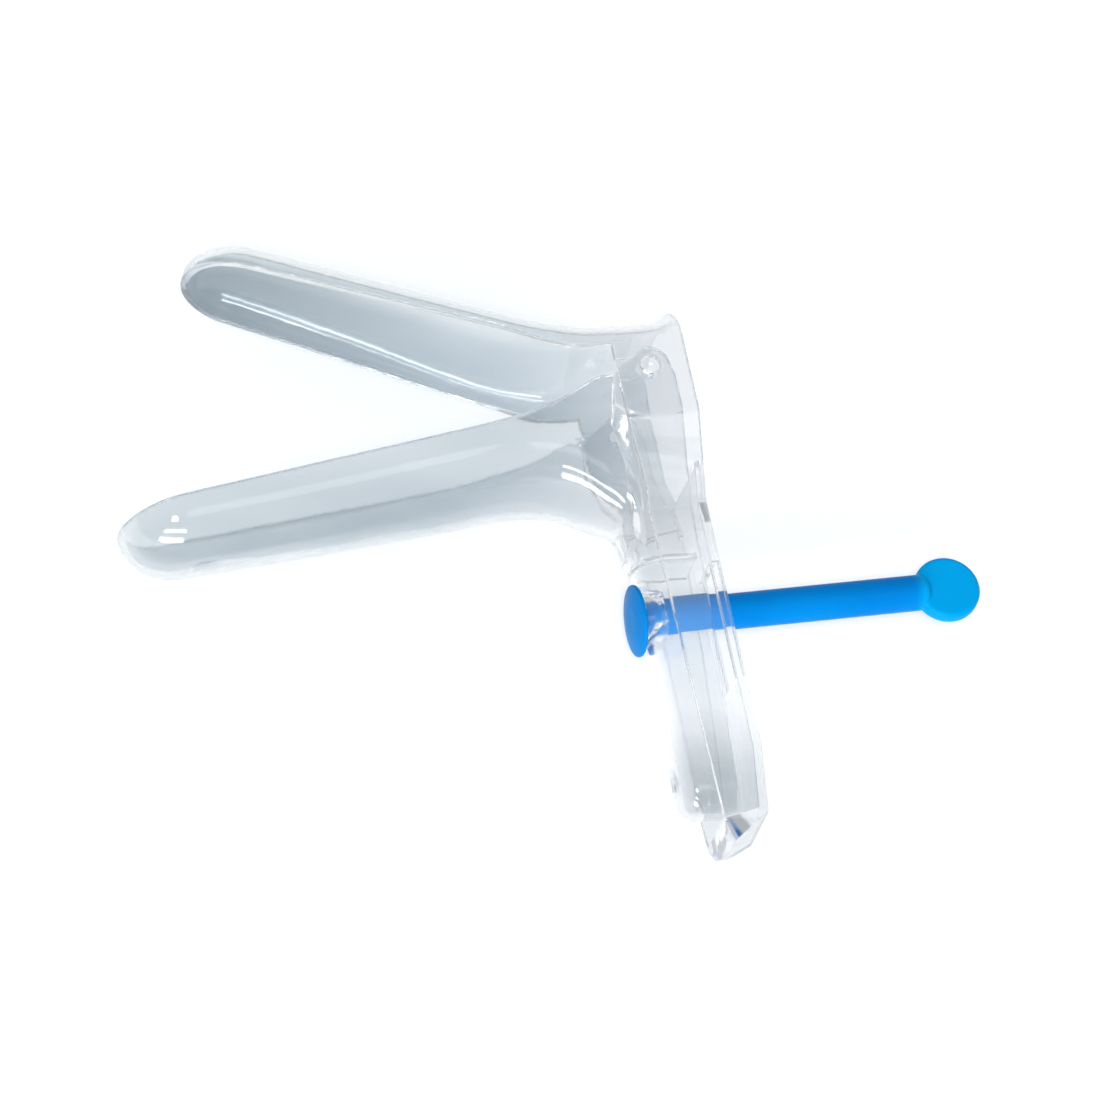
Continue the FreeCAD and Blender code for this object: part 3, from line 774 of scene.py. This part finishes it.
@dataclass
class RetainingDisc:
    """The disc in front of the handle, with a flat middle, a rounded rim and a hole for the spigot."""

    line: BarLine
    radius: float = 7.7 * MM
    thick: float = 1.6 * MM
    rim: float = 0.9 * MM
    back: float = 0.95 * MM
    hole: float = 2.2 * MM
    hole_depth: float = 1.4 * MM
    flat_share: float = 0.45
    flat_inner: float = 0.9
    dome_rise: float = 0.03 * MM
    rim_start: float = 160.0
    rim_steps: int = 12
    crease: float = 35.0
    # reach of the painted glow round the middle of the disc's back
    painted_glow_to: float = 0.5 * MM
    steps: int = 128

    def build(self) -> bpy.types.Object:
        """Builds, dresses and places the disc.

        Returns:
            The finished piece.
        """
        round_rim = self.rim / 2
        flat = self.radius * self.flat_share
        front = self.back - self.thick
        floor = self.back - self.hole_depth
        rim_centre = (self.back - round_rim, self.radius - round_rim)
        profile = [(front, 0.0), (front, flat * self.flat_inner), (front + self.dome_rise, flat)]
        profile += arc_points(rim_centre, round_rim, self.rim_start, 0.0, self.rim_steps)
        profile += [(self.back, self.hole), (floor, self.hole), (floor, 0.0)]
        form = turned(profile, self.steps)
        bmesh.ops.transform(form, matrix=self.line.place(), verts=form.verts)
        mesh = bpy.data.meshes.new("retaining_disc_blue")
        form.to_mesh(mesh)
        form.free()
        item = new_object("retaining_disc_blue", mesh)
        shade(item.data, self.crease)
        # painted glow round the middle of the disc's back
        centre = self.line.place() @ Vector((self.back, 0.0, 0.0))
        finish = BluePlastic("blue_disc", tuple(centre), 0.0, self.painted_glow_to).material()
        item.data.materials.append(finish)
        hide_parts("retaining_disc")
        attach(item, "bar")
        return item


@dataclass(frozen=True)
class Lamp:
    """A soft rectangular lamp that looks at the part.

    Attributes:
        name: the lamp's name.
        toward: where it hangs, as seen from the frame's origin, which it looks at.
        size: its length along X and its height.
        power: its power in watts.
    """

    name: str
    toward: Triple
    size: Pair
    power: float

    def hang(self) -> None:
        """Hangs the lamp in the scene."""
        data = bpy.data.lights.new(self.name, "AREA")
        data.shape = "RECTANGLE"
        data.size, data.size_y = self.size
        data.energy = self.power
        item = bpy.data.objects.new(self.name, data)
        bpy.context.scene.collection.objects.link(item)
        back = Vector(self.toward).normalized()
        right = (Vector((1.0, 0.0, 0.0)) - back * back.x).normalized()
        place = Matrix((right, back.cross(right), back)).transposed().to_4x4()
        place.translation = Vector(self.toward)
        item.matrix_world = place


@dataclass
class Studio:
    """Floor, light and camera."""

    hinge: Triple = (0.0, 0.0, 17.8 * MM)
    right: Triple = (0.978, 0.0, 0.208)
    up: Triple = (-0.098, 0.883, 0.459)
    back: Triple = (-0.184, -0.469, 0.864)
    left_of_hinge: float = 17.23 * MM
    below_hinge: float = 31.83 * MM
    view_width: float = 234.04 * MM
    distance: float = 2.6
    sensor: float = 36.0
    clip_start: float = 0.05
    clip_end: float = 20.0
    floor_half: float = 3.0
    floor_cells: int = 4
    floor_drop: float = 0.2 * MM
    floor_tint: Triple = (0.93, 0.93, 0.93)
    floor_rough: float = 0.9
    floor_shine: float = 0.1
    sky_low: Triple = (0.40, 0.41, 0.425)
    sky_high: Triple = (0.44, 0.45, 0.465)
    sky_turn: float = 0.75
    sky_strength: float = 1.25
    bounces: int = 24
    clear_bounces: int = 32
    lamps: tuple[Lamp, ...] = (
        Lamp("key", (-0.94, -2.40, 4.42), (0.96, 0.96), 134.0),
        Lamp("strip_low", (-0.16, -0.98, 0.20), (0.7, 0.15), 5.0),
        Lamp("strip_high", (-0.12, -0.86, 0.52), (0.7, 0.09), 2.6),
        Lamp("glint", (0.25, -0.28, 0.93), (0.3, 0.3), 0.25),
    )

    def camera(self) -> None:
        """Sets the camera at the photograph's angle, far off, so that its view is nearly parallel."""
        data = bpy.data.cameras.new("view")
        data.sensor_width = self.sensor
        data.lens = self.sensor * self.distance / self.view_width
        data.clip_start = self.clip_start
        data.clip_end = self.clip_end
        item = bpy.data.objects.new("view", data)
        bpy.context.scene.collection.objects.link(item)
        right, up, back = (Vector(axis).normalized() for axis in (self.right, self.up, self.back))
        aim = Vector(self.hinge) - right * self.left_of_hinge - up * self.below_hinge
        place = Matrix((right, up, back)).transposed().to_4x4()
        place.translation = aim + back * self.distance
        item.matrix_world = place
        bpy.context.scene.camera = item

    def floor(self) -> None:
        """Lays the pale floor."""
        cells = self.floor_cells
        form = bmesh.new()
        bmesh.ops.create_grid(form, x_segments=cells, y_segments=cells, size=self.floor_half)
        mesh = bpy.data.meshes.new("floor")
        form.to_mesh(mesh)
        form.free()
        item = new_object("floor", mesh)
        made = bpy.data.materials.new("pale_floor")
        made.use_nodes = True
        body = made.node_tree.nodes["Principled BSDF"]
        body.inputs["Base Color"].default_value = (*self.floor_tint, 1.0)
        body.inputs["Roughness"].default_value = self.floor_rough
        body.inputs["Specular IOR Level"].default_value = self.floor_shine
        item.data.materials.append(made)
        item.location.z = -self.floor_drop

    def light(self) -> None:
        """Lights the part from the viewer's side, with strips whose glints run along the blades."""
        world = bpy.data.worlds.new("surround")
        world.use_nodes = True
        work = NodeWork(world.node_tree)
        out = work.add("ShaderNodeOutputWorld")
        sky = work.add("ShaderNodeBackground")
        place = work.add("ShaderNodeTexCoord")
        split = work.add("ShaderNodeSeparateXYZ")
        work.join(place.outputs["Generated"], split.inputs["Vector"])
        colour = work.tint(split.outputs["Z"], [(0.0, self.sky_low), (self.sky_turn, self.sky_high)])
        work.join(colour, sky.inputs["Color"])
        sky.inputs["Strength"].default_value = self.sky_strength
        work.join(sky.outputs["Background"], out.inputs["Surface"])
        bpy.context.scene.world = world
        for lamp in self.lamps:
            lamp.hang()

    def build(self) -> None:
        """Sets up the whole studio."""
        self.camera()
        self.floor()
        self.light()
        cycles = bpy.context.scene.cycles
        cycles.max_bounces = self.bounces
        cycles.transmission_bounces = self.bounces
        cycles.glossy_bounces = self.bounces
        cycles.transparent_max_bounces = self.clear_bounces
        cycles.caustics_reflective = False
        cycles.caustics_refractive = False
        bpy.context.scene.view_settings.view_transform = "Standard"
        bpy.context.scene.view_settings.look = "None"


def main() -> None:
    """Builds the studio and every piece of the instrument."""
    logging.basicConfig(level=logging.INFO, format="%(name)s: %(message)s")
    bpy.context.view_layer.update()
    Studio().build()
    line = BarLine()
    # the lower blade's tint is even along it; its grip is painted lighter as a painted sheen
    lower_plastic = ClearPlastic(
        "clear_lower",
        flow=20.9,
        tip_painted_shade=(0.82, 0.845, 0.86),
        blade_smoke_and_shade=(0.815, 0.84, 0.855),
        lit_side_tint=(0.815, 0.84, 0.855),
        blade_from=0.3,
        blade_reach=-45.0 * MM,
    )
    # painted shade: the upper blade is painted much darker at its tip and darker on its low side
    upper_plastic = ClearPlastic(
        "clear_upper",
        flow=-11.0,
        tip_painted_shade=(0.33, 0.385, 0.42),
        blade_smoke_and_shade=(0.69, 0.74, 0.775),
        lit_side_tint=(0.93, 0.95, 0.95),
        blade_from=0.62,
        blade_reach=-34.0 * MM,
    )
    Moulding("lower_blade", "lower", lower_plastic).build()
    Moulding("upper_blade", "upper", upper_plastic).build()
    LockingBar(line).build()
    RetainingDisc(line).build()
    bpy.context.view_layer.update()


if __name__ == "__main__":
    main()
